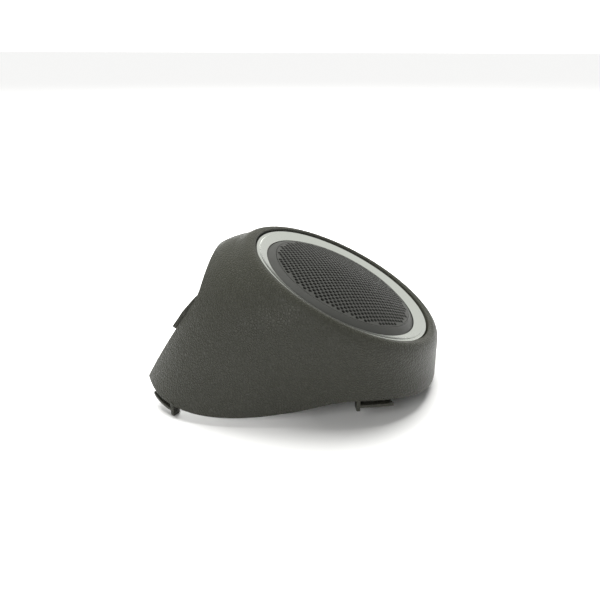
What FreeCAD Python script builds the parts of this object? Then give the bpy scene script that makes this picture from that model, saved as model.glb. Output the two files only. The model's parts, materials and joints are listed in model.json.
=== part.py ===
"""Dashboard-corner car tweeter pod, millimetres, +Z up.

The origin lies on the resting plane, straight below the centre of the grille ring. +X points to the nose of the
pod, the way the grille leans, and the XZ plane is its plane of symmetry. Everything round belongs to the tweeter
axis, so it is drawn in a ring frame (radius r, height h above the ring's rim plane) and then tilted into place.
"""

import math
import os

import FreeCAD
import Part

V = FreeCAD.Vector
os.makedirs("parts", exist_ok=True)

# ---------------------------------------------------------------- driving dimensions
TILT = 25.9  # lean of the tweeter axis from vertical, towards +X
RING_HEIGHT = 38.6  # ring centre above the resting plane
WALL = 2.2  # skin thickness of the housing
TONGUE = 1.3  # thickness of hooks and locating tongues

BEZEL_R = 36.0  # outer radius of the bright bezel
BEZEL_INNER_R = 31.0
BEZEL_GAP = 0.35  # shadow gap between housing and bezel
RIM_R = BEZEL_R + BEZEL_GAP
FRAME_R = 30.8  # outer radius of the black grille frame
MESH_R = 27.8  # radius of the visible perforated dome
DECK_TOP = -3.15  # the deck carries bezel, grille frame and tweeter
DECK_BOTTOM = -5.2
DECK_R = 38.2
DECK_HOLE_R = 23.5

MESH_RIM_H = -1.3  # height of the perforated dome's rim, underside
MESH_RISE = 2.8  # sagitta of the perforated dome
MESH_T = 0.6
HOLE_R = 0.66
HOLE_PITCH = 2.06  # along a row of holes
HOLE_ROW_STEP = 1.36  # from one row to the next
HOLE_TURN = -7.2  # the rows are turned this far from the plane of symmetry

BOSS_R = 32.2  # radius of the screw boss circle
BOSS_ANGLES = (0.0, 120.0, 240.0)
BOSS_END = -10.2
STAKE_ANGLES = (30.0, 150.0, 210.0, 330.0)
STAKE_R = 29.0
FOOT_ANGLES = (20.0, 140.0, 220.0, 340.0)

FACE_R = 27.0  # tweeter faceplate
FACE_TOP = -6.2
FACE_BOTTOM = -9.0
DOME_R = 12.7  # one-inch soft dome
COIL_GAP_TOP = -10.5
COIL_R = 12.98
YOKE_R = 15.6
YOKE_BOTTOM = -19.4
BODY_R = 17.6  # sleeve of the drive unit's frame
MAGNET_BOTTOM = -17.2
POLE_BOTTOM = -12.7
VENT_R = 1.2  # vent through the middle of the magnet system
WIRE_R = 0.8
WIRE_BEND = 2.0

CLIP_BOTTOM = 5.0
FOOT_HOLE_X = -55.0  # vehicle fixing hole in the carrier's tail
FOOT_BOTTOM = 4.2
FOOT_TOP = 6.8
BUSH_BORE_R = 2.6
BUSH_R = 3.6

# The skin: base outline as a Fourier series, and the profile of each station from rim to base.
BASE_Z = -6.4  # the skin is drawn down to here, then trimmed
OUTLINE_X = (-19.4, 59.8, -5.9, 0.3)  # constant, cos t, cos 2t, cos 3t
OUTLINE_Y = (50.6, -4.5, 5.9)  # sin t, sin 2t, sin 3t
RIM_WIDTH = (7.4, 4.6, 6.9)  # rounded rim beyond the ring, at nose, side and rear
RIM_DROP = (6.8, 5.0, 4.9)
RIM_CROWN = (1.6, 1.6, 0.45)
RIM_FULLNESS = 0.6
SHOULDER_LEAN = (0.52, 0.15, 1.3)
BASE_LEAN = (-0.22, 0.32, 0.75)
SHOULDER_PULL = (0.34, 0.30, 0.33)
BASE_PULL = (0.35, 0.35, 0.30)
STATIONS = 24

# Lower edge of the housing, front to back, and the rear edge that meets the pillar trim, both in side view.
LOWER_EDGE = (
    (45.0, 3.9), (34.7, 5.0), (31.0, 6.5), (25.6, 8.2), (14.8, 10.1), (2.0, 10.0), (-12.0, 6.3),
    (-26.0, 3.9), (-39.0, 3.1), (-55.5, 4.2), (-64.0, 5.8), (-69.9, 7.8),
)
REAR_EDGE = ((-69.9, 7.8), (-67.4, 12.3), (-60.0, 24.4), (-53.7, 33.7), (-50.2, 39.8), (-49.0, 45.6), (-48.6, 63.6))
HALF_SPAN = 70.0

RING_PLACE = FreeCAD.Placement(V(0, 0, RING_HEIGHT), FreeCAD.Rotation(V(0, 1, 0), TILT))


# ---------------------------------------------------------------- small helpers
def place(shape):
    """Moves a shape from the ring frame into the part frame."""
    moved = shape.copy()
    moved.Placement = RING_PLACE.multiply(shape.Placement)
    return moved


def save(name, *shapes):
    """Writes one node. Several solids in one node stay separate solids."""
    solids = [solid for shape in shapes for solid in shape.Solids]
    node = solids[0] if len(solids) == 1 else Part.makeCompound(solids)
    if not node.isValid() or node.Volume <= 0:
        raise ValueError(f"{name} is not a valid solid")
    node.exportStep(f"parts/{name}.step")


def revolve(points):
    """Solid of revolution about the ring axis from (r, h) corners; a three-item corner starts an arc through it."""
    edges = []
    clean = list(points) + [points[0]]
    index = 0
    while index < len(clean) - 1:
        start = V(clean[index][0], 0, clean[index][1])
        following = clean[index + 1]
        if len(following) == 3:
            middle = V(following[0], 0, following[1])
            end = V(clean[index + 2][0], 0, clean[index + 2][1])
            edges.append(Part.Arc(start, middle, end).toShape())
            index += 2
        else:
            edges.append(Part.makeLine(start, V(following[0], 0, following[1])))
            index += 1
    face = Part.Face(Part.Wire(edges))
    return face.revolve(V(0, 0, 0), V(0, 0, 1), 360)


def tube(outer, inner, low, high):
    """Plain ring between two radii and two heights."""
    ring = Part.makeCylinder(outer, high - low, V(0, 0, low))
    return ring.cut(Part.makeCylinder(inner, high - low + 2, V(0, 0, low - 1)))


def box(low, high):
    return Part.makeBox(high[0] - low[0], high[1] - low[1], high[2] - low[2], V(*low))


def turned(shape, angle):
    """A copy of a shape turned about the ring axis."""
    copy = shape.copy()
    copy.rotate(V(0, 0, 0), V(0, 0, 1), angle)
    return copy


def polar(radius, angle):
    return radius * math.cos(math.radians(angle)), radius * math.sin(math.radians(angle))


def extrude_side(points, y_low, y_high):
    """Extrudes a closed side-view (x, z) polygon across the pod."""
    corners = [V(x, y_low, z) for x, z in points]
    face = Part.Face(Part.makePolygon(corners + corners[:1]))
    return face.extrude(V(0, y_high - y_low, 0))


def cable(corners, radius, bend):
    """Round wire in straight runs from corner to corner, with a bend at each corner in between."""
    edges = []
    start = corners[0]
    for before, corner, after in zip(corners, corners[1:], corners[2:]):
        back = (before - corner).normalize()
        ahead = (after - corner).normalize()
        half = back.getAngle(ahead) / 2
        reach = bend / math.tan(half)
        middle = corner + (back + ahead).normalize() * (bend / math.sin(half) - bend)
        first, last = corner + back * reach, corner + ahead * reach
        edges.append(Part.makeLine(start, first))
        edges.append(Part.Arc(first, middle, last).toShape())
        start = last
    edges.append(Part.makeLine(start, corners[-1]))
    profile = Part.Wire(Part.makeCircle(radius, corners[0], corners[1] - corners[0]))
    return Part.Wire(edges).makePipeShell([profile], True, True)


def mirrored(shape):
    return shape.mirror(V(0, 0, 0), V(0, 1, 0))


# ---------------------------------------------------------------- the skin
def mix(values, t):
    """Blends the (nose, side, rear) values of a dimension smoothly round the pod."""
    nose, side, rear = values
    constant = (nose + rear) / 4 + side / 2
    return constant + (nose - rear) / 2 * math.cos(t) + ((nose + rear) / 4 - side / 2) * math.cos(2 * t)


def bezier(p0, p1, p2, p3, s):
    return p0 * (1 - s) ** 3 + p1 * (3 * s * (1 - s) ** 2) + p2 * (3 * s * s * (1 - s)) + p3 * s**3


TILT_RAD = math.radians(TILT)
AXIS = V(math.sin(TILT_RAD), 0, math.cos(TILT_RAD))
FRONT = V(math.cos(TILT_RAD), 0, -math.sin(TILT_RAD))
CENTRE = V(0, 0, RING_HEIGHT)


def skin_curves(t):
    """Control points of the rim and wall curves at station t."""
    radial = FRONT * math.cos(t) + V(0, math.sin(t), 0)
    rim_start = CENTRE + radial * RIM_R
    width, drop = mix(RIM_WIDTH, t), mix(RIM_DROP, t)
    rim_end = rim_start + radial * width - AXIS * drop
    down = (radial * mix(SHOULDER_LEAN, t) - AXIS).normalize()
    rim = (
        rim_start,
        rim_start + radial * (width * RIM_FULLNESS) + AXIS * mix(RIM_CROWN, t),
        rim_end - down * (drop * RIM_FULLNESS),
        rim_end,
    )
    x = sum(c * math.cos(k * t) for k, c in enumerate(OUTLINE_X))
    y = sum(c * math.sin((k + 1) * t) for k, c in enumerate(OUTLINE_Y))
    base = V(x, y, BASE_Z)
    outward = V(x + 15.0, y, 0).normalize()
    up = (V(0, 0, 1) - outward * mix(BASE_LEAN, t)).normalize()
    span = (base - rim_end).Length
    wall = (
        rim_end,
        rim_end + down * (span * mix(SHOULDER_PULL, t)),
        base + up * (span * mix(BASE_PULL, t)),
        base,
    )
    return rim, wall


RIM_STEPS = (0.0, 0.25, 0.5, 0.75)
WALL_STEPS = (0.0, 0.14, 0.28, 0.42, 0.56, 0.7, 0.85, 1.0)
WALL_LEVELS = [("wall", s) for s in WALL_STEPS]
LEVELS = [("rim", s) for s in RIM_STEPS] + WALL_LEVELS
ANGLES = [2 * math.pi * i / STATIONS for i in range(STATIONS)]


def skin_point(t, level):
    rim, wall = skin_curves(t)
    kind, s = level
    return bezier(*(rim if kind == "rim" else wall), s)


def skin_normal(t, level):
    """Outward unit normal by central differences."""
    step = 1e-3
    kind, s = level
    along = skin_point(t + step, level) - skin_point(t - step, level)
    low, high = max(s - step, 0.0), min(s + step, 1.0)
    down = skin_point(t, (kind, high)) - skin_point(t, (kind, low))
    return down.cross(along).normalize()


def ring_circle(radius, height):
    """Points on a circle about the tweeter axis, one at each station."""
    return [CENTRE + (FRONT * math.cos(t) + V(0, math.sin(t), 0)) * radius + AXIS * height for t in ANGLES]


def closed_form(rows):
    """Solid bounded by one smooth surface through rings of points, and a flat cap at each end."""
    turns = [i / STATIONS for i in range(STATIONS + 1)]
    rings = []
    for row in rows:
        ring = Part.BSplineCurve()
        ring.interpolate(Points=row, PeriodicFlag=True, Parameters=turns)
        rings.append(ring)
    gaps = [sum((p - q).Length for p, q in zip(r1, r2)) for r1, r2 in zip(rows, rows[1:])]
    steps = [sum(gaps[:i]) / sum(gaps) for i in range(len(rows))]
    poles = []
    for column in zip(*[ring.getPoles() for ring in rings]):
        rib = Part.BSplineCurve()
        rib.interpolate(Points=list(column), Parameters=steps)
        poles.append(rib.getPoles())
    surface = Part.BSplineSurface()
    surface.buildFromPolesMultsKnots(
        poles, rings[0].getMultiplicities(), rib.getMultiplicities(), rings[0].getKnots(), rib.getKnots(),
        True, False, 3, 3,
    )
    caps = [Part.Face(Part.Wire(ring.toShape())) for ring in (rings[0], rings[-1])]
    shell = Part.Shell([surface.toShape()] + caps)
    shell.sewShape()
    solid = Part.Solid(shell)
    if solid.Volume < 0:
        solid.reverse()
    return solid


def outer_skin():
    """The full outer form. It starts just inside the bezel recess, which trims it later."""
    rows = [ring_circle(RIM_R - 1.5, -0.55)]
    rows += [[skin_point(t, level) for t in ANGLES] for level in LEVELS]
    return closed_form(rows)


def inset_skin(depth):
    """The outer form drawn in by a constant depth. Its top lies inside the deck, its foot below the trimmed edge."""
    rows = [ring_circle(RIM_R + 1.4, DECK_TOP - 0.9 - 0.1 * depth)]
    for level in WALL_LEVELS[:-1]:
        rows.append([skin_point(t, level) - skin_normal(t, level) * depth for t in ANGLES])
    foot = []
    for t in ANGLES:
        normal = skin_normal(t, WALL_LEVELS[-1])
        flat = V(normal.x, normal.y, 0)
        foot.append(skin_point(t, WALL_LEVELS[-1]) - flat * (depth / flat.Length**2) - V(0, 0, 0.5))
    rows.append(foot)
    return closed_form(rows)


def side_curve(points, y):
    curve = Part.BSplineCurve()
    curve.interpolate([V(x, y, z) for x, z in points])
    return curve.toShape()


def above_edges(drop=0.0, grow=0.0):
    """Everything above the lower edge and ahead of the rear edge, with both edges moved outwards if asked."""
    lower = [(x, z - drop) for x, z in LOWER_EDGE]
    rear = [(x - grow, z - drop) for x, z in REAR_EDGE]
    corner = (rear[0][0], lower[-1][1])
    lower[-1] = corner
    rear[0] = corner
    y = -HALF_SPAN
    edge_low = side_curve(lower, y)
    edge_rear = side_curve(rear, y)
    far_low, far_high = V(lower[0][0], y, 75), V(rear[-1][0], y, 75)
    face = Part.Face(
        Part.Wire(
            [
                edge_low,
                edge_rear,
                Part.makeLine(V(rear[-1][0], y, rear[-1][1]), far_high),
                Part.makeLine(far_high, far_low),
                Part.makeLine(far_low, V(lower[0][0], y, lower[0][1])),
            ]
        )
    )
    return face.extrude(V(0, 2 * HALF_SPAN, 0))


# Hooks run from one x to another along the lower edge, and an end rib closes one end of each.
FRONT_HOOK = (7.6, 20.2)
REAR_HOOK = (-66.0, -56.4)
HOOK_SLOT = 1.5  # gap that takes the neighbouring panel's edge
HOOK_LIP = 1.2
TONGUE_REACH = 1.7
TONGUE_Z = (27.3, 39.5)
FRONT_RIB_DROP = 4.0
REAR_RIB_DROP = 4.32
RIB_T = 1.3


def hooks(outer, inset, deep, span, rib_x, rib_drop):
    """On both sides, a tongue inside the skin that drops below the edge and turns out into a lip, with an end rib."""
    stretch = side_slab(span[0], span[1])
    tongue = inset.cut(deep).common(stretch).common(above_edges(HOOK_SLOT + HOOK_LIP)).cut(above_edges(-5.0))
    thick_skin = outer.cut(deep)
    lip = thick_skin.common(stretch).common(above_edges(HOOK_SLOT + HOOK_LIP)).cut(above_edges(HOOK_SLOT))
    rib_slab = side_slab(rib_x - RIB_T / 2, rib_x + RIB_T / 2)
    rib = thick_skin.common(rib_slab).common(above_edges(rib_drop)).cut(above_edges(-1.0))
    return [tongue, lip, rib]


def side_slab(x_low, x_high):
    return box((x_low, -HALF_SPAN, -7), (x_high, HALF_SPAN, 30))


def rear_tongues(inset, deep):
    """Locating tongues that reach past the rear edge under the pillar trim, one on each side."""
    region = box((-80, -HALF_SPAN, TONGUE_Z[0]), (-40, HALF_SPAN, TONGUE_Z[1]))
    return inset.cut(deep).common(region).common(above_edges(0.0, TONGUE_REACH)).cut(above_edges(0.0, -4.0))


def clip_tower():
    """Flat post that carries a steel clip; it hangs from the deck."""
    post = box((-13.0, -32.0, CLIP_BOTTOM), (-3.0, -30.0, 45.0))
    under_deck = place(Part.makeCylinder(60, 60, V(0, 0, DECK_BOTTOM + 0.4 - 60)))
    gusset = box((-8.8, -36.0, CLIP_BOTTOM + 9.0), (-7.2, -30.0, 45.0))
    return post.fuse(gusset).common(under_deck)


def housing():
    outer, inset, deep = outer_skin(), inset_skin(WALL), inset_skin(WALL + TONGUE)
    skin = outer.cut(inset)
    deck = place(Part.makeCylinder(DECK_R, 8, V(0, 0, DECK_BOTTOM))).common(outer)
    solid = skin.fuse(deck).common(above_edges())
    solid = solid.cut(place(Part.makeCylinder(RIM_R, 10, V(0, 0, DECK_TOP))))
    solid = solid.cut(place(Part.makeCylinder(DECK_HOLE_R, 20, V(0, 0, -15))))

    additions = []
    for angle in BOSS_ANGLES:
        x, y = polar(BOSS_R, angle)
        additions.append(place(Part.makeCylinder(3.0, DECK_BOTTOM - BOSS_END + 0.5, V(x, y, BOSS_END))))
    additions += hooks(outer, inset, deep, FRONT_HOOK, FRONT_HOOK[0] + RIB_T / 2, FRONT_RIB_DROP)
    additions += hooks(outer, inset, deep, REAR_HOOK, REAR_HOOK[1] - RIB_T / 2, REAR_RIB_DROP)
    additions += [rear_tongues(inset, deep), clip_tower(), mirrored(clip_tower())]
    solid = solid.multiFuse(additions)

    pilots, slots = [], []
    for angle in BOSS_ANGLES:
        x, y = polar(BOSS_R, angle)
        pilots.append(Part.makeCylinder(1.5, 6.2, V(x, y, BOSS_END)))
    for angle in STAKE_ANGLES:
        x, y = polar(STAKE_R, angle)
        pilots.append(Part.makeCylinder(1.05, 8, V(x, y, DECK_BOTTOM - 3)))
    for angle in FOOT_ANGLES:
        slots.append(turned(box((33.0, -2.7, DECK_BOTTOM - 3), (35.6, 2.7, DECK_TOP + 0.5)), angle))
    solid = solid.cut(place(Part.makeCompound(pilots + slots)))
    felt_band = inset.cut(deep)
    return solid, felt_band


# ---------------------------------------------------------------- front trim, in the ring frame
def bezel():
    """Bright ring: rounded outer crest, shallow dish, and four snap feet through the deck."""
    ring = revolve(
        [
            (BEZEL_R, DECK_TOP), (BEZEL_R, -1.45), (BEZEL_R - 0.18, -0.8, "arc"), (BEZEL_R - 0.75, -0.58),
            (BEZEL_R - 1.25, -0.72, "arc"), (BEZEL_R - 1.6, -1.0), (33.0, -1.55, "arc"),
            (BEZEL_INNER_R, -1.95), (BEZEL_INNER_R, DECK_TOP),
        ]
    )
    feet = []
    for angle in FOOT_ANGLES:
        leg = box((33.4, -2.5, -6.6), (34.6, 2.5, DECK_TOP + 0.4))
        barb = extrude_side([(34.6, -5.25), (35.4, -5.25), (34.6, -6.6)], -2.5, 2.5)
        feet.append(turned(leg.fuse(barb), angle))
    return ring.multiFuse(feet)


def grille_frame():
    """Black ring that rises from the bezel to the dome and is heat-staked through the deck."""
    ring = revolve(
        [
            (FRAME_R, DECK_TOP), (FRAME_R, -2.25), (FRAME_R - 0.3, -1.98), (29.4, -1.35, "arc"),
            (MESH_R + 0.3, -0.72), (MESH_R + 0.05, -0.82), (MESH_R + 0.05, MESH_RIM_H), (26.2, MESH_RIM_H),
            (26.2, DECK_TOP),
        ]
    )
    stakes = []
    for angle in STAKE_ANGLES:
        x, y = polar(STAKE_R, angle)
        stakes.append(Part.makeCylinder(0.95, 3.2, V(x, y, DECK_BOTTOM - 0.3)))
        stakes.append(Part.makeCone(0.8, 1.5, 0.6, V(x, y, DECK_BOTTOM - 0.65)))
    return ring.multiFuse(stakes)


def dome_radius(rim, rise):
    return (rim * rim + rise * rise) / (2 * rise)


def dome_shell(rim, rise, thickness, rim_h):
    """Spherical cap shell whose underside meets height rim_h at radius rim."""
    inner = dome_radius(rim, rise)
    centre = V(0, 0, rim_h + rise - inner)
    outer_ball = Part.makeSphere(inner + thickness, centre)
    inner_ball = Part.makeSphere(inner, centre)
    keep = Part.makeCylinder(rim, rise + 10, V(0, 0, rim_h))
    return outer_ball.cut(inner_ball).common(keep), centre, inner


def grille_mesh():
    """Steel dome perforated in staggered rows; every hole is punched square to the surface."""
    shell, centre, radius = dome_shell(MESH_R, MESH_RISE, MESH_T, MESH_RIM_H)
    rows = int(MESH_R / HOLE_ROW_STEP) + 1
    punches = []
    for row in range(-rows, rows + 1):
        for column in range(-rows, rows + 1):
            x = (column + 0.5 * (row % 2)) * HOLE_PITCH
            y = row * HOLE_ROW_STEP
            if math.hypot(x, y) > MESH_R - HOLE_R - 0.35:
                continue
            direction = V(x, y, math.sqrt(radius**2 - x * x - y * y)).normalize()
            punches.append(Part.makeCylinder(HOLE_R, 3.0, centre + direction * (radius - 1.2), direction))
    return turned(shell.cut(Part.makeCompound(punches)), HOLE_TURN)


def acoustic_cloth():
    """Thin cloth drawn over the inside of the dome and glued to the frame's ledge."""
    shell, _, _ = dome_shell(26.1, 2.4, 0.3, MESH_RIM_H - 0.35)
    return shell


# ---------------------------------------------------------------- the drive unit, in the ring frame
def tweeter_frame():
    """Faceplate with a short horn, and the sleeve round the magnet system."""
    body = revolve(
        [
            (FACE_R, FACE_BOTTOM), (FACE_R, FACE_TOP), (22.6, FACE_TOP), (19.4, -7.0, "arc"), (17.7, -8.1),
            (17.7, -8.6), (14.2, -8.6), (14.2, -10.3), (YOKE_R, -10.3), (YOKE_R, MAGNET_BOTTOM),
            (BODY_R, MAGNET_BOTTOM), (BODY_R, FACE_BOTTOM),
        ]
    )
    for y in (-BLADE_Y, BLADE_Y):
        body = body.cut(box((-23, y - 0.6, -9.6), (-13.0, y + 0.6, -8.59)))
    return body


def surround():
    """Half-roll suspension with a flat glue ring."""
    return revolve(
        [
            (17.4, -8.6), (17.4, -8.4), (15.2, -8.4), (14.0, -7.2, "arc"), (12.8, -8.4), (12.8, -8.6),
            (13.0, -8.6), (14.0, -7.4, "arc"), (15.0, -8.6),
        ]
    )


BLADE_Y = 3.0  # the two terminals sit this far either side of the middle
BARREL_X = -19.9
BARREL_LOW = -22.6
BARREL_HIGH = -18.6


def terminal_block():
    """Insulating block on the drive unit's body, slotted for the blades and the coil's leads."""
    block = box((-21.4, -6.5, -12.0), (-17.0, 6.5, -9.05))
    block = block.cut(Part.makeCylinder(BODY_R + 0.05, 10, V(0, 0, -15)))
    for y in (-BLADE_Y, BLADE_Y):
        block = block.cut(box((-20.2, y - 1.42, -13), (-19.6, y + 1.42, -9)))
        block = block.cut(box((-19.7, y - 0.35, -9.65), (-16.9, y + 0.35, -9)))
    return block


def terminal_blades():
    return [box((-20.18, y - 1.4, -17.5), (-19.62, y + 1.4, -9.1)) for y in (-BLADE_Y, BLADE_Y)]


def receptacles():
    """Folded push-on sleeves over the blades, each with a crimp barrel for its wire."""
    sleeves = []
    for y in (-BLADE_Y, BLADE_Y):
        outer = box((-20.75, y - 2.0, BARREL_HIGH), (-19.05, y + 2.0, -13.0))
        slot = box((-20.25, y - 1.5, BARREL_HIGH + 0.9), (-19.55, y + 1.5, -12.0))
        barrel = tube(1.35, WIRE_R + 0.2, BARREL_LOW, BARREL_HIGH)
        barrel.translate(V(BARREL_X, y, 0))
        sleeves.append(outer.cut(slot).fuse(barrel))
    return sleeves


def lead_out_wires():
    """Straight leads from the coil, through the frame's slots to the blades."""
    return [Part.makeCylinder(0.2, 6.0, V(-19.5, y, -9.3), V(1, 0, 0)) for y in (-BLADE_Y, BLADE_Y)]


# ---------------------------------------------------------------- carrier and what it holds
STRAP_TOP = 43.6
STRAP = (  # side view of the carrier's tail, from its plate down to the vehicle fixing foot
    (-30.5, STRAP_TOP), (-35.5, STRAP_TOP + 2.0), (-44.6, FOOT_TOP + 3.0), (-46.6, FOOT_TOP), (-61.0, FOOT_TOP),
    (-61.0, FOOT_BOTTOM), (-44.6, FOOT_BOTTOM), (-41.8, FOOT_TOP),
)
STRAP_HALF = 7.0
CONNECTOR_Z = 22.6
CAPACITOR = (-34.2, 15.1)  # x, z of its axis
CAPACITOR_R = 4.0
CAPACITOR_HALF = 7.0  # half its length


def strap_x(z):
    """Centre of the leaning strap at a height."""
    share = (z - FOOT_TOP) / (STRAP_TOP - FOOT_TOP)
    return -43.9 + share * 10.9


def carrier():
    """Moulded bracket: clamps the drive unit, carries the electrics and bolts to the car."""
    plate = tube(28.0, 22.6, -12.2, BOSS_END).fuse(tube(26.5, 23.5, BOSS_END - 0.1, FACE_BOTTOM))
    for angle in BOSS_ANGLES:
        x, y = polar(BOSS_R, angle)
        ear = Part.makeCylinder(3.8, 2.0, V(x, y, -12.2))
        web = turned(box((26.0, -3.8, -12.2), (BOSS_R, 3.8, BOSS_END)), angle)
        plate = plate.fuse(ear).fuse(web)
    plate = plate.fuse(box((-34.0, -STRAP_HALF, -12.2), (-26.0, STRAP_HALF, BOSS_END)))
    bracket = place(plate)
    strap = extrude_side(STRAP, -STRAP_HALF, STRAP_HALF)
    under_plate = place(Part.makeCylinder(80, 60, V(0, 0, BOSS_END - 60)))
    strap = strap.common(under_plate)
    ribs = [
        extrude_side(
            [
                (-36.0, 37.6), (-41.0, 15.6), (-43.4, FOOT_TOP + 1), (-42.0, FOOT_BOTTOM), (-38.4, 15.6),
                (-33.0, 37.6),
            ],
            y, y + 1.4,
        )
        for y in (-STRAP_HALF, STRAP_HALF - 1.4)
    ]
    x, z = CAPACITOR
    cradle = box((strap_x(z) - 0.6, -4.5, z - CAPACITOR_R - 1.2), (x, 4.5, z + CAPACITOR_R + 1.2))
    bracket = bracket.multiFuse([strap, cradle] + ribs)
    bracket = bracket.cut(Part.makeCylinder(CAPACITOR_R + 0.05, 40, V(x, -20, z), V(0, 1, 0)))
    bracket = bracket.cut(box((-60, -4.6, CONNECTOR_Z - 3.6), (-34, 4.6, CONNECTOR_Z + 3.6)))
    bracket = bracket.cut(Part.makeCylinder(BUSH_R, 20, V(FOOT_HOLE_X, 0, -5)))
    screw_holes = []
    for angle in BOSS_ANGLES:
        hx, hy = polar(BOSS_R, angle)
        screw_holes.append(Part.makeCylinder(1.7, 4, V(hx, hy, -14)))
    clearance = Part.makeCylinder(22.6, 40, V(0, 0, -50))
    return bracket.cut(place(Part.makeCompound(screw_holes))).cut(place(clearance))


def carrier_screws():
    """Pan-head self-tapping screws with a cross recess."""
    screws = []
    for angle in BOSS_ANGLES:
        x, y = polar(BOSS_R, angle)
        head = Part.makeCylinder(2.8, 1.9, V(x, y, -14.1))
        head = head.makeFillet(0.7, [head.Edges[2]]) if len(head.Edges) > 2 else head
        shank = Part.makeCylinder(1.42, 7.4, V(x, y, -12.3))
        tip = Part.makeCone(1.42, 0.7, 0.7, V(x, y, -4.9))
        cross = box((x - 1.5, y - 0.3, -15), (x + 1.5, y + 0.3, -13.1)).fuse(
            box((x - 0.3, y - 1.5, -15), (x + 0.3, y + 1.5, -13.1))
        )
        screws.append(head.fuse(shank).fuse(tip).cut(cross))
    return screws


CONNECTOR_X = (-57.9, -42.8)
CONNECTOR_HALF = (5.4, 4.4)  # half width, half height
PIN_Y = 2.2


def connector_body():
    """Two-way socket that slides onto the strap and faces the rear opening."""
    x0, x1 = CONNECTOR_X
    hy, hz = CONNECTOR_HALF
    z = CONNECTOR_Z
    shell = box((x0, -hy, z - hz), (x1, hy, z + hz))
    shell = shell.cut(box((x0 - 1, -hy + 1.1, z - hz + 1.1), (x1 - 5.0, hy - 1.1, z + hz - 1.1)))
    for y in (-PIN_Y, PIN_Y):
        shell = shell.cut(Part.makeCylinder(0.75, 30, V(x0 - 1, y, z), V(1, 0, 0)))
    rail = box((x0 + 3.0, -2.6, z + hz), (x1 - 1.5, 2.6, z + hz + 1.9))
    rail = rail.cut(box((x0 - 1, -1.75, z + hz + 0.0), (x1, 1.75, z + hz + 1.2)))
    plug = box((x1 - 0.1, -4.4, z - 3.4), (x1 + 5.0, 4.4, z + 3.4))
    for y in (-PIN_Y, PIN_Y):
        plug = plug.cut(Part.makeCylinder(1.25, 30, V(x1 - 12, y, z), V(1, 0, 0)))
    body = shell.fuse(rail).fuse(plug)
    for y in (-PIN_Y, PIN_Y):
        body = body.cut(Part.makeCylinder(1.25, 6.0, V(x1 - 0.9, y, z), V(1, 0, 0)))
    return body


def connector_pins():
    start = CONNECTOR_X[0] + 4.0
    return [Part.makeCylinder(0.7, 9.4, V(start, y, CONNECTOR_Z), V(1, 0, 0)) for y in (-PIN_Y, PIN_Y)]


def connector_lock():
    """Position-assurance slider in the rail on top of the socket."""
    x0, x1 = CONNECTOR_X
    z = CONNECTOR_Z + CONNECTOR_HALF[1]
    slider = box((x0 + 4.0, -1.65, z + 0.08), (x1 - 3.6, 1.65, z + 1.1))
    thumb = box((x0 + 0.6, -2.6, z + 0.08), (x0 + 2.4, 2.6, z + 2.2))
    neck = box((x0 + 2.2, -1.3, z + 0.08), (x0 + 4.2, 1.3, z + 1.1))
    return slider.fuse(thumb).fuse(neck)


def capacitor():
    """Bipolar capacitor with a rolled groove near one end."""
    x, z = CAPACITOR
    can = Part.makeCylinder(CAPACITOR_R, 2 * CAPACITOR_HALF, V(x, -CAPACITOR_HALF, z), V(0, 1, 0))
    ends = [edge for edge in can.Edges if edge.Curve.TypeId == "Part::GeomCircle"]
    can = can.makeFillet(0.5, ends)
    groove = Part.makeTorus(CAPACITOR_R + 0.25, 0.5, V(x, 5.2, z), V(0, 1, 0))
    return can.cut(groove)


def ring_point(x, y, h):
    """Ring-frame point in the part frame."""
    return RING_PLACE.multVec(V(x, y, h))


def wires():
    """Three insulated wires: supply to capacitor, capacitor to drive unit, and the return."""
    cap_x, cap_z = CAPACITOR
    entry = CONNECTOR_X[1] + 1.2
    z = CONNECTOR_Z
    loop_y = CAPACITOR_HALF + 9.3
    joint_y = CAPACITOR_HALF + 5.0
    supply = [
        V(entry, -PIN_Y, z), V(entry + 8.0, -PIN_Y, z), V(cap_x, -loop_y, z - 2.6), V(cap_x, -loop_y, cap_z),
        V(cap_x, -joint_y, cap_z),
    ]
    feed = [
        V(cap_x, joint_y, cap_z), V(cap_x, loop_y, cap_z), V(cap_x + 1.2, loop_y, cap_z + 6.0),
        ring_point(BARREL_X, BLADE_Y, BARREL_LOW - 4.4), ring_point(BARREL_X, BLADE_Y, BARREL_LOW + 3.4),
    ]
    back = [
        V(entry, PIN_Y, z), V(entry + 7.1, PIN_Y, z), ring_point(BARREL_X, -BLADE_Y, BARREL_LOW - 3.4),
        ring_point(BARREL_X, -BLADE_Y, BARREL_LOW + 3.4),
    ]
    return [cable(corners, WIRE_R, WIRE_BEND) for corners in (supply, feed, back)]


def capacitor_leads():
    """Stiff tinned leads out of both ends of the capacitor."""
    x, z = CAPACITOR
    length = 4.9
    starts = (CAPACITOR_HALF, -CAPACITOR_HALF - length)
    return [Part.makeCylinder(0.35, length, V(x, y, z), V(0, 1, 0)) for y in starts]


def splice_sleeves():
    """Sleeves over the joints between capacitor leads and wires."""
    x, z = CAPACITOR
    sleeves = []
    length = 3.7
    for y in (CAPACITOR_HALF + 1.8, -CAPACITOR_HALF - 1.8 - length):
        sleeve = Part.makeCylinder(WIRE_R + 0.6, length, V(x, y, z), V(0, 1, 0))
        sleeves.append(sleeve.cut(Part.makeCylinder(WIRE_R + 0.1, length, V(x, y, z), V(0, 1, 0))))
    return sleeves


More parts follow.
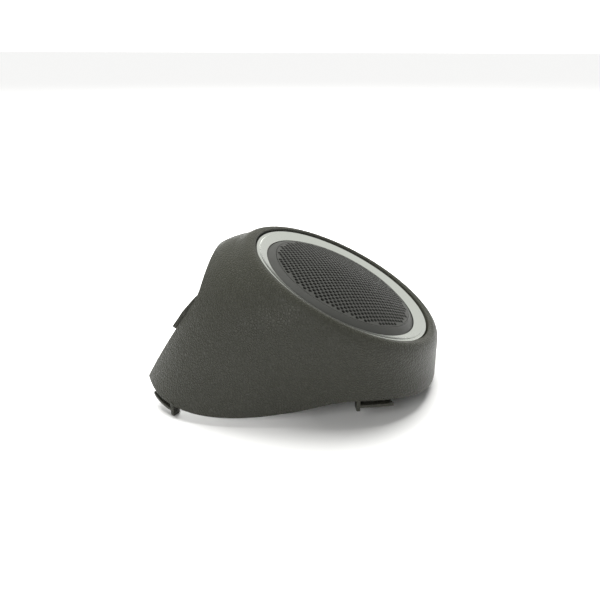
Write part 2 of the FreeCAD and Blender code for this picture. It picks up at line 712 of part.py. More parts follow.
def cable_tie():
    """Tie round the capacitor and its cradle."""
    x, z = CAPACITOR
    band = tube(CAPACITOR_R + 0.95, CAPACITOR_R + 0.1, -1.25, 1.25)
    band.rotate(V(0, 0, 0), V(1, 0, 0), 90)
    band.translate(V(x, 0, z))
    half = box((x + 0.1, -5, z - 10), (x + 12, 5, z + 10))
    head = box((x + CAPACITOR_R - 0.6, -2.1, z + 3.4), (x + CAPACITOR_R + 2.2, 2.1, z + 5.6))
    head = head.cut(Part.makeCylinder(CAPACITOR_R + 0.1, 20, V(x, -10, z), V(0, 1, 0)))
    tail = box((x + CAPACITOR_R + 2.1, -1.25, z + 4.2), (x + CAPACITOR_R + 4.6, 1.25, z + 4.9))
    return band.common(half).fuse(head).fuse(tail)


def spring_clip():
    """Folded steel clip over the end of a clip tower, with a barb on each face."""
    t, gap = 0.5, 0.06
    y_in, y_out = -30.0 + gap, -32.0 - gap
    low = CLIP_BOTTOM
    high = low + 11.3

    def leg(y, side):
        bend = [
            (y, low - gap), (y, high), (y + side * t, high), (y + side * t, low + 8.0), (y + side * 1.9, low + 6.0),
            (y + side * 1.9, low + 5.4), (y + side * t, low + 3.2), (y + side * t, low - gap),
        ]
        corners = [V(-12.0, py, pz) for py, pz in bend]
        return Part.Face(Part.makePolygon(corners + corners[:1])).extrude(V(8.0, 0, 0))

    fold = box((-12.0, y_out - t, low - gap - t), (-4.0, y_in + t, low - gap))
    clip = leg(y_in, 1).fuse(leg(y_out, -1)).fuse(fold)
    gusset_slot = box((-9.1, -40.0, low + 8.5), (-6.9, y_out + 0.01, low + 20.0))
    return clip.cut(gusset_slot)


def felt_pads(band):
    """Anti-rattle felt on the inside of the skin, both sides."""
    region = box((-34.0, -HALF_SPAN, 9.1), (-15.0, HALF_SPAN, 15.1))
    return band.common(region)


def main():
    shell, felt_band = housing()
    save("housing_shell", shell)
    save("felt_pads", felt_pads(felt_band))
    clip = spring_clip()
    save("spring_clips", clip, mirrored(clip))

    save("bezel_ring", place(bezel()))
    save("grille_frame", place(grille_frame()))
    save("grille_mesh", place(grille_mesh()))
    save("acoustic_cloth", place(acoustic_cloth()))
    save("front_gasket", place(tube(26.7, 23.7, FACE_TOP, DECK_BOTTOM)))

    save("tweeter_frame", place(tweeter_frame()))
    save("surround", place(surround()))
    dome, _, _ = dome_shell(DOME_R, 4.4, 0.2, -8.4)
    save("dome_diaphragm", place(dome))
    save("coil_former", place(tube(DOME_R, DOME_R - 0.2, -13.5, -8.4)))
    save("voice_coil", place(tube(COIL_R, DOME_R, -12.9, -10.4)))
    save("pole_felt", place(tube(9.0, VENT_R, COIL_GAP_TOP, -9.4)))
    save("pole_plate", place(tube(DOME_R - 0.45, VENT_R, POLE_BOTTOM, COIL_GAP_TOP)))
    save("magnet_disc", place(tube(11.4, VENT_R, MAGNET_BOTTOM, POLE_BOTTOM)))
    yoke = tube(YOKE_R, COIL_R + 0.37, MAGNET_BOTTOM, -10.3).fuse(tube(YOKE_R, VENT_R, YOKE_BOTTOM, MAGNET_BOTTOM))
    save("yoke_cup", place(yoke))
    save("terminal_block", place(terminal_block()))
    save("terminal_blades", *[place(s) for s in terminal_blades()])
    save("lead_out_wires", *[place(s) for s in lead_out_wires()])

    save("tweeter_carrier", carrier())
    save("carrier_screws", *[place(s) for s in carrier_screws()])
    bush = Part.makeCylinder(BUSH_R, FOOT_TOP - FOOT_BOTTOM, V(FOOT_HOLE_X, 0, FOOT_BOTTOM))
    save("mounting_bush", bush.cut(Part.makeCylinder(BUSH_BORE_R, 20, V(FOOT_HOLE_X, 0, -5))))

    save("receptacles", *[place(s) for s in receptacles()])
    save("capacitor_can", capacitor())
    supply, feed, back = wires()
    save("capacitor_leads", *capacitor_leads())
    save("supply_wire", supply)
    save("feed_wire", feed)
    save("return_wire", back)
    save("splice_sleeves", *splice_sleeves())
    save("cable_tie", cable_tie())
    save("connector_body", connector_body())
    save("connector_pins", *connector_pins())
    save("connector_lock", connector_lock())


main()
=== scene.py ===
"""Looks of the car tweeter pod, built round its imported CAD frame.

Shapes are worked out in millimetres in the same frame and turned into metres when a mesh is made.
"""

import json
import math

import bmesh
import bpy
import numpy as np
from mathutils import Matrix, Vector


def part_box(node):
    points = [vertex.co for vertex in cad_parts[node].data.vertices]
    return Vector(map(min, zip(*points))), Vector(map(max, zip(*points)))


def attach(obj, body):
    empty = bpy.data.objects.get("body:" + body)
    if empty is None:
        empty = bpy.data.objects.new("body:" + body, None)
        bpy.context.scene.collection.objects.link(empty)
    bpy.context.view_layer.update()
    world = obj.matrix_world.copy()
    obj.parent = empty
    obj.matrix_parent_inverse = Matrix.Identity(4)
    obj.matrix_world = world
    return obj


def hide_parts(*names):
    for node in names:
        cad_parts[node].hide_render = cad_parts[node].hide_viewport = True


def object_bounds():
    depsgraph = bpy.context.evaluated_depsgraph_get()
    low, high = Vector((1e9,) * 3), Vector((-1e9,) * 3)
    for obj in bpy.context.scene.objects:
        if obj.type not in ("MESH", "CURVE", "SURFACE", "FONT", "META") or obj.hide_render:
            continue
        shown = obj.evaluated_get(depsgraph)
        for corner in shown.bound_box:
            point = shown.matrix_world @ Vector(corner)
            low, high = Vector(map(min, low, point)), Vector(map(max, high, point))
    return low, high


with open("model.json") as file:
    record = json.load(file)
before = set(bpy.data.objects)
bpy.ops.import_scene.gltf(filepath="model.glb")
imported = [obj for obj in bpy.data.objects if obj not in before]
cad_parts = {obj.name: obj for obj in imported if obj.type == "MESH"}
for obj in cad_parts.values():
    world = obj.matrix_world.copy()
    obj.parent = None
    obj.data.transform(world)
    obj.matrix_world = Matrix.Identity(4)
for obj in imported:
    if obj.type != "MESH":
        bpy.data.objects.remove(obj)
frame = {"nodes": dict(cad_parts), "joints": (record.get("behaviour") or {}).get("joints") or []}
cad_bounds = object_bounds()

MM = 0.001
POD = "pod"

# ------------------------------------------------------------------ places read from the frame
AXIS = np.array(next(j["axis"] for j in frame["joints"] if j["name"] == "diaphragm_travel"))
AXIS = AXIS / np.linalg.norm(AXIS)
FRONT = np.array([AXIS[2], 0.0, -AXIS[0]])
SIDE = np.array([0.0, 1.0, 0.0])


def box_mm(node):
    low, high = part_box(node)
    return np.array(low) / MM, np.array(high) / MM


def box_middle(node):
    low, high = box_mm(node)
    return (low + high) / 2


# The coil former is a plain tube, so the middle of its box lies on the tweeter axis, which starts at x = 0.
former_middle = box_middle("coil_former")
CENTRE = former_middle - AXIS * (former_middle[0] / AXIS[0])

# ------------------------------------------------------------------ driving dimensions, mm
BEZEL_R = 36.0
RIM_R = 36.35
BEZEL_INNER_R = 31.0
FRAME_R = 30.8
FRAME_INNER_R = 26.2
MESH_R = 27.8
DECK_TOP = -3.15
DECK_BOTTOM = -5.2
DECK_R = 38.2
DECK_HOLE_R = 23.5
WALL = 2.2
MESH_RIM_H = -1.3
MESH_RISE = 2.8
MESH_T = 0.6
MESH_BORDER = 0.35  # least plain sheet outside the last holes
HOLE_R = 0.66
HOLE_PITCH = 2.06
HOLE_ROW_STEP = 1.36
HOLE_TURN = -7.2


def ring_to_pod(points):
    """(x, y, h) in the ring frame to millimetres in the pod's frame."""
    p = np.asarray(points, float)
    return CENTRE + p[..., 0:1] * FRONT + p[..., 1:2] * SIDE + p[..., 2:3] * AXIS


# ------------------------------------------------------------------ mesh helpers
class Solid:
    """Collects closed surfaces, in millimetres, and turns them into one piece."""

    def __init__(self):
        self.verts = []
        self.faces = []
        self.count = 0

    def add(self, verts, faces):
        verts = np.asarray(verts, float).reshape(-1, 3)
        self.verts.append(verts)
        self.faces += [tuple(int(i) + self.count for i in face) for face in faces]
        self.count += len(verts)

    def piece(self, name, look, body=POD, replaces=(), sharp=40.0):
        mesh = bpy.data.meshes.new(name)
        mesh.from_pydata((np.concatenate(self.verts) * MM).tolist(), [], self.faces)
        shape = bmesh.new()
        shape.from_mesh(mesh)
        bmesh.ops.remove_doubles(shape, verts=shape.verts, dist=2e-6)
        bmesh.ops.recalc_face_normals(shape, faces=shape.faces)
        shape.to_mesh(mesh)
        shape.free()
        mesh.polygons.foreach_set("use_smooth", [True] * len(mesh.polygons))
        mesh.set_sharp_from_angle(angle=math.radians(sharp))
        obj = bpy.data.objects.new(name, mesh)
        bpy.context.scene.collection.objects.link(obj)
        mesh.materials.append(look)
        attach(obj, body)
        if replaces:
            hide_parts(*replaces)
        return obj


def grid_faces(columns, rows):
    """Quads of a grid closed both ways: columns x rows points, listed column by column."""
    faces = []
    for i in range(columns):
        j = (i + 1) % columns
        for k in range(rows):
            m = (k + 1) % rows
            faces.append((i * rows + k, j * rows + k, j * rows + m, i * rows + m))
    return faces


def arc_through(start, middle, end, steps=10):
    """Points of the circle arc through three points of a profile, without the first."""
    (ax, ay), (bx, by), (cx, cy) = start, middle, end
    d = 2 * (ax * (by - cy) + bx * (cy - ay) + cx * (ay - by))
    ux = ((ax**2 + ay**2) * (by - cy) + (bx**2 + by**2) * (cy - ay) + (cx**2 + cy**2) * (ay - by)) / d
    uy = ((ax**2 + ay**2) * (cx - bx) + (bx**2 + by**2) * (ax - cx) + (cx**2 + cy**2) * (bx - ax)) / d
    radius = math.hypot(ax - ux, ay - uy)
    first = math.atan2(ay - uy, ax - ux)
    sweep_mid = (math.atan2(by - uy, bx - ux) - first) % (2 * math.pi)
    sweep = (math.atan2(cy - uy, cx - ux) - first) % (2 * math.pi)
    if sweep_mid > sweep:
        sweep -= 2 * math.pi
    angles = [first + sweep * k / steps for k in range(1, steps + 1)]
    return [(ux + radius * math.cos(a), uy + radius * math.sin(a)) for a in angles]


def profile(corners):
    """Polyline from corners; a three-item corner makes the stretch to the next corner an arc through it."""
    points = [tuple(corners[0][:2])]
    index = 1
    while index < len(corners):
        corner = corners[index]
        if len(corner) == 3:
            points += arc_through(points[-1], corner[:2], corners[index + 1][:2])
            index += 2
        else:
            points.append(tuple(corner))
            index += 1
    return points


def soften(points, radius, steps=3, angle=25.0):
    """Rounds the sharp corners of a closed polyline."""
    pts = [np.array(p, float) for p in points]
    if np.linalg.norm(pts[0] - pts[-1]) < 1e-6:
        pts = pts[:-1]
    out = []
    for i, here in enumerate(pts):
        before, after = pts[i - 1] - here, pts[(i + 1) % len(pts)] - here
        lb, la = np.linalg.norm(before), np.linalg.norm(after)
        turn = math.degrees(math.acos(np.clip(-(before @ after) / (lb * la), -1, 1)))
        if turn < angle:
            out.append(here)
            continue
        cut = min(radius, 0.42 * lb, 0.42 * la)
        start, end = here + before / lb * cut, here + after / la * cut
        for k in range(steps + 1):
            s = k / steps
            out.append(start * (1 - s) ** 2 + here * (2 * s * (1 - s)) + end * s * s)
    return out


def lathe(solid, corners, round_by=0.12, segments=256, centre=(0.0, 0.0)):
    """A closed (r, h) profile turned about the tweeter axis, or about a parallel axis through centre."""
    outline = np.array(soften(profile(corners), round_by))
    angles = np.linspace(0, 2 * math.pi, segments, endpoint=False)
    x = centre[0] + np.outer(np.cos(angles), outline[:, 0])
    y = centre[1] + np.outer(np.sin(angles), outline[:, 0])
    h = np.broadcast_to(outline[:, 1], x.shape)
    solid.add(ring_to_pod(np.stack([x, y, h], -1)), grid_faces(segments, len(outline)))


def rounded_block(low, high, bevel=0.2, segments=2):
    """Vertices and faces of a block with rounded edges."""
    low, high = np.array(low, float), np.array(high, float)
    shape = bmesh.new()
    bmesh.ops.create_cube(shape, size=1.0)
    for vert in shape.verts:
        vert.co = Vector((np.array(vert.co) + 0.5) * (high - low) + low)
    bmesh.ops.bevel(shape, geom=shape.edges[:], offset=bevel, segments=segments, profile=0.5, affect="EDGES")
    verts = np.array([vert.co for vert in shape.verts])
    faces = [[vert.index for vert in face.verts] for face in shape.faces]
    shape.free()
    return verts, faces


def spin(points, degrees):
    """Points of the ring frame turned about its axis."""
    c, s = math.cos(math.radians(degrees)), math.sin(math.radians(degrees))
    return points @ np.array([[c, s, 0], [-s, c, 0], [0, 0, 1]])


def polar(radius, angle):
    return radius * math.cos(math.radians(angle)), radius * math.sin(math.radians(angle))


def sweep(solid, sections):
    """Closed solid through equal sections, capped at both ends."""
    sections = np.asarray(sections, float)
    count, size = sections.shape[:2]
    faces = []
    for i in range(count - 1):
        for k in range(size):
            m = (k + 1) % size
            faces.append((i * size + k, (i + 1) * size + k, (i + 1) * size + m, i * size + m))
    faces.append(tuple(range(size)))
    faces.append(tuple((count - 1) * size + k for k in range(size)))
    solid.add(sections.reshape(-1, 3), faces)


# ------------------------------------------------------------------ the housing's skin
OUTLINE_X = (-19.4, 59.8, -5.9, 0.3)
OUTLINE_Y = (50.6, -4.5, 5.9)
BASE_Z = -6.4
RIM_WIDTH = (7.4, 4.6, 6.9)
RIM_DROP = (6.8, 5.0, 4.9)
RIM_CROWN = (1.6, 1.6, 0.45)
RIM_FULLNESS = 0.6
SHOULDER_LEAN = (0.52, 0.15, 1.3)
BASE_LEAN = (-0.22, 0.32, 0.75)
SHOULDER_PULL = (0.34, 0.30, 0.33)
BASE_PULL = (0.35, 0.35, 0.30)
LOWER_EDGE = (
    (45.0, 3.9), (34.7, 5.0), (31.0, 6.5), (25.6, 8.2), (14.8, 10.1), (2.0, 10.0), (-12.0, 6.3),
    (-26.0, 3.9), (-39.0, 3.1), (-55.5, 4.2), (-64.0, 5.8), (-69.9, 7.8),
)
REAR_EDGE = (
    (-69.9, 7.8), (-67.4, 12.3), (-60.0, 24.4), (-53.7, 33.7),
    (-50.2, 39.8), (-49.0, 45.6), (-48.6, 63.6),
)
COLUMNS = 448


def unit(v):
    return v / np.linalg.norm(v, axis=-1, keepdims=True)


def mix(values, t):
    nose, side, rear = values
    return (
        (nose + rear) / 4 + side / 2 + (nose - rear) / 2 * np.cos(t)
        + ((nose + rear) / 4 - side / 2) * np.cos(2 * t)
    )


def bezier(p0, p1, p2, p3, s):
    return p0 * (1 - s) ** 3 + p1 * (3 * s * (1 - s) ** 2) + p2 * (3 * s * s * (1 - s)) + p3 * s**3


def smooth_through(points, x):
    """Smooth curve y(x) through a few points, flat beyond them."""
    xs, ys = np.array(sorted(points)).T
    slopes = np.gradient(ys, xs)
    x = np.clip(x, xs[0], xs[-1])
    i = np.clip(np.searchsorted(xs, x) - 1, 0, len(xs) - 2)
    span = xs[i + 1] - xs[i]
    u = (x - xs[i]) / span
    return (
        ys[i] * (1 + 2 * u) * (1 - u) ** 2 + span * slopes[i] * u * (1 - u) ** 2
        + ys[i + 1] * u * u * (3 - 2 * u) + span * slopes[i + 1] * u * u * (u - 1)
    )


def lower_edge(x):
    return smooth_through(LOWER_EDGE, x)


def rear_edge(z):
    return smooth_through([(z_, x_) for x_, z_ in REAR_EDGE], z)


def skin_curves(t):
    """Control points of the rim and wall curves at stations t."""
    column = t[:, None]
    radial = np.cos(column) * FRONT + np.sin(column) * SIDE
    rim_start = CENTRE + radial * RIM_R
    width, drop = mix(RIM_WIDTH, column), mix(RIM_DROP, column)
    rim_end = rim_start + radial * width - AXIS * drop
    down = unit(radial * mix(SHOULDER_LEAN, column) - AXIS)
    rim = (
        rim_start,
        rim_start + radial * (width * RIM_FULLNESS) + AXIS * mix(RIM_CROWN, column),
        rim_end - down * (drop * RIM_FULLNESS),
        rim_end,
    )
    x = sum(c * np.cos(k * t) for k, c in enumerate(OUTLINE_X))
    y = sum(c * np.sin((k + 1) * t) for k, c in enumerate(OUTLINE_Y))
    base = np.stack([x, y, np.full_like(x, BASE_Z)], -1)
    outward = unit(np.stack([x + 15.0, y, np.zeros_like(x)], -1))
    up = unit(np.array([0, 0, 1.0]) - outward * mix(BASE_LEAN, column))
    span = np.linalg.norm(base - rim_end, axis=1, keepdims=True)
    wall = (
        rim_end,
        rim_end + down * (span * mix(SHOULDER_PULL, column)),
        base + up * (span * mix(BASE_PULL, column)),
        base,
    )
    return rim, wall


def wall_points(t, s):
    """Wall points at stations t and shares s."""
    t, s = np.broadcast_arrays(t, s)
    _, wall = skin_curves(t.ravel())
    return bezier(*wall, s.reshape(-1, 1)).reshape(t.shape + (3,))


def wall_normals(t, s):
    step = 1e-3
    along = wall_points(t + step, s) - wall_points(t - step, s)
    down = wall_points(t, np.clip(s + step, 0, 1)) - wall_points(t, np.clip(s - step, 0, 1))
    return unit(np.cross(down, along))


def inner_points(t, s):
    return wall_points(t, s) - wall_normals(t, s) * WALL


def lower_gap(p):
    return p[..., 2] - lower_edge(p[..., 0])


def rear_gap(p):
    return p[..., 0] - rear_edge(p[..., 2])


def first_below_zero(gap, values):
    """For each row of gap, the value at which it first falls below zero."""
    first = np.argmax(gap < 0, axis=1)
    rows = np.arange(len(gap))
    g0, g1 = gap[rows, first - 1], gap[rows, first]
    return values[first - 1] + (values[first] - values[first - 1]) * g0 / (g0 - g1)


TRACE = 400  # points along each stretch of the trimmed edge
UPRIGHT_TOP = 0.25  # above this share of the wall the rear edge is followed by station, below it by share
EDGE_SWING = math.radians(15)  # how far the columns lean rearward to reach the corner of the edge
SWING_FROM = math.radians(75)


def trimmed_edge():
    """Rim station, edge station and edge share of each column, evenly spaced along the trimmed edge."""
    shares = np.linspace(0, 1, TRACE)
    upright = np.linspace(0.9, UPRIGHT_TOP, TRACE)
    sweep_t = np.linspace(1.9, math.pi, TRACE)
    upright_t = first_below_zero(rear_gap(wall_points(sweep_t[None, :], upright[:, None])), sweep_t)
    kept = lower_gap(wall_points(upright_t, upright)) > 0
    upright, upright_t = upright[kept], upright_t[kept]
    low_t = np.linspace(0, upright_t[0], TRACE)
    low = first_below_zero(lower_gap(wall_points(low_t[:, None], shares[None, :])), shares)
    top_t = np.linspace(upright_t[-1], math.pi, TRACE)[1:]
    top = first_below_zero(rear_gap(wall_points(top_t[:, None], shares[None, :])), shares)
    t, share = np.concatenate([low_t, upright_t, top_t]), np.concatenate([low, upright, top])
    edge = wall_points(t, share)
    run = np.concatenate([[0], np.cumsum(np.linalg.norm(np.diff(edge, axis=0), axis=1))])
    corner, top_end = run[TRACE - 1], run[TRACE + len(upright) - 1]
    measure = run / run[-1] + 0.6 * t / math.pi
    half = COLUMNS // 2
    low_count = round(half * measure[TRACE - 1] / measure[-1])
    wanted = np.concatenate([
        np.linspace(measure[0], measure[TRACE - 1], low_count, endpoint=False),
        np.linspace(measure[TRACE - 1], measure[-1], half - low_count + 1),
    ])
    run, t, share = (np.interp(wanted, measure, values) for values in (run, t, share))
    ahead = np.clip((t - SWING_FROM) / (t[low_count] - SWING_FROM), 0, 1)
    rim_t = t - EDGE_SWING * ahead * ahead * (3 - 2 * ahead)
    up_rear = np.interp(run, (corner, top_end), (t[low_count] - EDGE_SWING, top_t[0]))
    rim_t = np.where(run < corner, rim_t, np.where(run < top_end, up_rear, t))
    mirror = slice(-2, 0, -1)
    return (
        np.concatenate([rim_t, 2 * math.pi - rim_t[mirror]]), np.concatenate([t, 2 * math.pi - t[mirror]]),
        np.concatenate([share, share[mirror]]),
    )


T, EDGE_T, EDGE_SHARE = trimmed_edge()
OUTER_EDGE = wall_points(EDGE_T, EDGE_SHARE)
INNER_EDGE = inner_points(EDGE_T, EDGE_SHARE)


CORNER_SHARE = 0.45  # most of a stretch that the rounding of its corner may use up


def around_corner(before, corner, after, radius, steps=4):
    """Rounds one corner of every column, from the stretch before it to the stretch after it."""

    def towards(other):
        way = other - corner
        length = np.linalg.norm(way, axis=1, keepdims=True)
        return corner + unit(way) * np.minimum(radius, CORNER_SHARE * length)

    start, end = towards(before), towards(after)
    shares = [k / steps for k in range(steps + 1)]
    return [start * (1 - s) ** 2 + corner * (2 * s * (1 - s)) + end * s * s for s in shares]


def ring_points(radius, height):
    return ring_to_pod(np.stack([radius * np.cos(T), radius * np.sin(T), np.full_like(T, height)], -1))


def housing_skin(solid):
    """One closed sheet: recess, rim, wall, rounded edge, inner wall and deck."""
    rim, _ = skin_curves(T)
    rows = []
    rows += around_corner(ring_points(DECK_HOLE_R, DECK_BOTTOM), ring_points(DECK_HOLE_R, DECK_TOP),
                          ring_points(RIM_R, DECK_TOP), 0.3)
    rows += [ring_points(r, DECK_TOP) for r in (27.0, 31.0, 34.0)]
    rows += [ring_points(RIM_R, DECK_TOP), ring_points(RIM_R, -1.5)]
    lip = bezier(*rim, 0.12)
    rows += around_corner(ring_points(RIM_R, -1.5), ring_points(RIM_R, 0.02), lip, 0.4)
    rows += [bezier(*rim, s) for s in np.linspace(0.16, 1.0, 18)[:-1]]
    near_edge = 1 - 0.6 / np.linalg.norm(OUTER_EDGE - rim[3], axis=1)
    down = np.linspace(0, 1, 56)
    path = near_edge[:, None] * down
    lean = (EDGE_T - T)[:, None]
    wall = wall_points(T[:, None] + lean * path, EDGE_SHARE[:, None] * path)
    rows += [wall[:, k] for k in range(len(down))]
    path = path[:, ::-1][:, ::2]
    inner = inner_points(T[:, None] + lean * path, EDGE_SHARE[:, None] * path)
    rows += around_corner(wall[:, -2], OUTER_EDGE, INNER_EDGE, 0.42)
    rows += around_corner(OUTER_EDGE, INNER_EDGE, inner[:, 1], 0.3)
    rows += [inner[:, k] for k in range(1, inner.shape[1])]
    crown = ring_points(38.9, -4.3)
    top = inner[:, -1]
    rows += [top * 0.66 + crown * 0.34 + AXIS * 0.35, top * 0.33 + crown * 0.67 + AXIS * 0.35, crown]
    rows += around_corner(crown, ring_points(DECK_R, DECK_BOTTOM), ring_points(30.0, DECK_BOTTOM), 0.3)
    rows += [ring_points(r, DECK_BOTTOM) for r in (34.0, 29.0)]
    rows += around_corner(ring_points(29.0, DECK_BOTTOM), ring_points(DECK_HOLE_R, DECK_BOTTOM),
                          ring_points(DECK_HOLE_R, DECK_TOP), 0.3)
    points = np.stack(rows, 1)
    solid.add(points, grid_faces(len(T), len(rows)))


# ------------------------------------------------------------------ hooks, tongues, posts
FRONT_HOOK = (7.6, 20.2)
REAR_HOOK = (-66.0, -56.4)
HOOK_SLOT = 1.5
HOOK_LIP = 1.2
TONGUE_T = 1.3
TONGUE_REACH = 1.7
TONGUE_Z = (27.3, 39.5)
FRONT_RIB_DROP = 4.0
REAR_RIB_DROP = 4.32
RIB_T = 1.3
CLIP_BOTTOM = box_mm("spring_clips")[0][2] + 0.56


def edge_at(values, coordinate, side, on_lower):
    """Outer and inner edge points, on one side, at the given x (lower edge) or z (rear edge)."""
    lower = abs(lower_gap(OUTER_EDGE)) < abs(rear_gap(OUTER_EDGE))
    keep = (lower == on_lower) & (np.sign(OUTER_EDGE[:, 1]) == side)
    order = np.argsort(OUTER_EDGE[keep][:, coordinate])
    known = OUTER_EDGE[keep][order]
    inner = INNER_EDGE[keep][order]
    outer_at = [np.interp(values, known[:, coordinate], known[:, k]) for k in range(3)]
    inner_at = [np.interp(values, known[:, coordinate], inner[:, k]) for k in range(3)]
    return np.stack(outer_at, -1), np.stack(inner_at, -1)


def hook(solid, span, rib_x, rib_drop, side):
    """A tongue inside the skin that drops below the lower edge and turns out into a lip, with an end rib."""

    def section_at(x, corners, radius):
        outer, inner = edge_at(np.array([x]), 0, side, True)
        across = outer[0] - inner[0]
        across[2] = 0
        width = np.linalg.norm(across)
        across = across / width
        points = soften([(width if u == "skin" else u, v) for u, v in corners], radius)
        base = np.array([inner[0][0], inner[0][1], outer[0][2]])
        return [base + across * u + np.array([0, 0, v]) for u, v in points]

    bottom = -HOOK_SLOT - HOOK_LIP
    tongue = ((0.1, 3.0), (0.1, -HOOK_SLOT), ("skin", -HOOK_SLOT), ("skin", bottom), (-TONGUE_T, bottom),
              (-TONGUE_T, 3.0))
    sweep(solid, [section_at(x, tongue, 0.3) for x in np.linspace(span[0], span[1], 26)])
    rib = (("skin", 1.0), ("skin", -rib_drop), (-TONGUE_T, -rib_drop), (-TONGUE_T, 1.0))
    ends = (rib_x - RIB_T / 2, rib_x + RIB_T / 2)
    inset = 0.18
    shapes = [section_at(ends[0], rib, 0.5)]
    for x in (ends[0] + inset, ends[1] - inset):
        shapes.append(section_at(x, rib, 0.35))
    shapes.append(section_at(ends[1], rib, 0.5))
    middle = np.mean(np.array(shapes), axis=1, keepdims=True)
    shapes = np.array(shapes)
    shapes[0] = middle[0] + (shapes[0] - middle[0]) * 0.93
    shapes[-1] = middle[-1] + (shapes[-1] - middle[-1]) * 0.93
    sweep(solid, shapes)


def rear_tongue(solid, side):
    """Locating tongue past the rear edge; it tapers out towards the top."""
    heights = np.linspace(TONGUE_Z[0], TONGUE_Z[1], 40)
    outer, inner = edge_at(heights, 2, side, False)
    inward = np.array([0, -side, 0.0])
    rearward = unit(np.cross(inward, outer[-1] - outer[0]) * side)
    base = np.stack([outer[:, 0], inner[:, 1], outer[:, 2]], -1)
    rise = (heights - TONGUE_Z[0]) / (TONGUE_Z[1] - TONGUE_Z[0])
    reach = TONGUE_REACH * np.clip((1 - rise) / 0.55, 0, 1) ** 0.6 + 0.02
    sections = []
    for k in range(len(heights)):
        corners = ((-3.5, 0.0), (reach[k], 0.0), (reach[k], TONGUE_T), (-3.5, TONGUE_T))
        points = soften(corners, 0.35)
        sections.append([base[k] + rearward * a + inward * (b - 0.1) for a, b in points])
    sweep(solid, sections)


def clip_post(solid, side):
    """Flat post under the deck for a steel clip, with its gusset."""
    low, high = np.array([-13.0, 30.0, CLIP_BOTTOM]), np.array([-3.0, 32.0, 38.0])
    for part_low, part_high in ((low, high), ((-8.8, 30.0, CLIP_BOTTOM + 9.0), (-7.2, 35.5, 33.0))):
        verts, faces = rounded_block(part_low, part_high, 0.25)
        cut = DECK_BOTTOM + 0.4
        height = (verts - CENTRE) @ AXIS
        over = np.clip(height - cut, 0, None)
        verts[:, 2] -= over / AXIS[2]
        verts[:, 1] *= side
        solid.add(verts, faces)


BOSS_R = 32.2
BOSS_BORE_R = 1.5
BOSS_WALL_R = 3.0
BOSS_ANGLES = (0.0, 120.0, 240.0)
BOSS_END = -10.2
STAKE_ANGLES = (30.0, 150.0, 210.0, 330.0)
STAKE_R = 29.0
FOOT_ANGLES = (20.0, 140.0, 220.0, 340.0)


def build_housing(look):
    solid = Solid()
    housing_skin(solid)
    for side in (-1, 1):
        hook(solid, FRONT_HOOK, FRONT_HOOK[0] + RIB_T / 2, FRONT_RIB_DROP, side)
        hook(solid, REAR_HOOK, REAR_HOOK[1] - RIB_T / 2, REAR_RIB_DROP, side)
        rear_tongue(solid, side)
        clip_post(solid, side)
    for angle in BOSS_ANGLES:
        top = DECK_BOTTOM + 0.3
        boss = [(BOSS_BORE_R, BOSS_END), (BOSS_WALL_R, BOSS_END), (BOSS_WALL_R + 0.1, top),
                (BOSS_BORE_R, top)]
        lathe(solid, boss, 0.2, 40, polar(BOSS_R, angle))
    return solid.piece("housing_skin", look, replaces=["housing_shell"], sharp=35)


# ------------------------------------------------------------------ front trim
def build_bezel(look):
    solid = Solid()
    corners = [
        (BEZEL_R, DECK_TOP), (BEZEL_R, -1.45), (BEZEL_R - 0.18, -0.8, "arc"), (BEZEL_R - 0.75, -0.58),
        (BEZEL_R - 1.25, -0.72, "arc"), (BEZEL_R - 1.6, -1.0), (33.0, -1.55, "arc"),
        (BEZEL_INNER_R, -1.95), (BEZEL_INNER_R, DECK_TOP),
    ]
    lathe(solid, corners, 0.12, 384)
    for angle in FOOT_ANGLES:
        for low, high in (((33.4, -2.5, -6.6), (34.6, 2.5, -3.0)), ((34.3, -2.5, -6.2), (35.3, 2.5, -5.3))):
            verts, faces = rounded_block(low, high, 0.18)
            solid.add(ring_to_pod(spin(verts, angle)), faces)
    return solid.piece("bezel_trim", look, replaces=["bezel_ring"])


def build_grille_frame(look):
    solid = Solid()
    corners = [
        (FRAME_R, DECK_TOP), (FRAME_R, -2.25), (FRAME_R - 0.3, -1.98), (29.4, -1.35, "arc"),
        (MESH_R + 0.3, -0.72), (MESH_R + 0.05, -0.82), (MESH_R + 0.05, MESH_RIM_H),
        (FRAME_INNER_R, MESH_RIM_H), (FRAME_INNER_R, DECK_TOP),
    ]
    lathe(solid, corners, 0.14, 384)
    for angle in STAKE_ANGLES:
        stake = [(0.02, DECK_TOP + 0.3), (0.95, DECK_TOP + 0.3), (0.95, -5.45), (1.45, -5.5), (0.9, -5.95),
                 (0.02, -6.05)]
        lathe(solid, stake, 0.12, 32, polar(STAKE_R, angle))
    return solid.piece("grille_frame_trim", look, replaces=["grille_frame"])


HOLE_STEPS = 24  # points round one hole, and round the cell that holds it


def cell_border(turn):
    """Border of the cell nearest to one hole of the staggered rows, in the given directions."""
    slant = np.array([HOLE_PITCH / 2, HOLE_ROW_STEP])
    neighbours = [np.array([HOLE_PITCH, 0.0]), slant, slant * (-1, 1)]
    reach = np.full(turn.shape, 9.0)
    rays = np.stack([np.cos(turn), np.sin(turn)], -1)
    for step in neighbours:
        across = np.abs(rays @ step)
        reach = np.minimum(reach, (step @ step) / 2 / np.maximum(across, 1e-6))
    return rays * reach[:, None]


def cell_directions():
    """Directions round a cell that hit its six corners, four to a side."""
    half, step = HOLE_PITCH / 2, HOLE_ROW_STEP
    corners = [math.atan2((step**2 - half**2) / (2 * step), half), math.pi / 2]
    corners += [math.pi - corners[0], math.pi + corners[0], 1.5 * math.pi, 2 * math.pi - corners[0]]
    turns = []
    for first, last in zip(corners, corners[1:] + [corners[0] + 2 * math.pi]):
        turns += list(np.linspace(first, last, HOLE_STEPS // 6, endpoint=False))
    return np.array(turns)


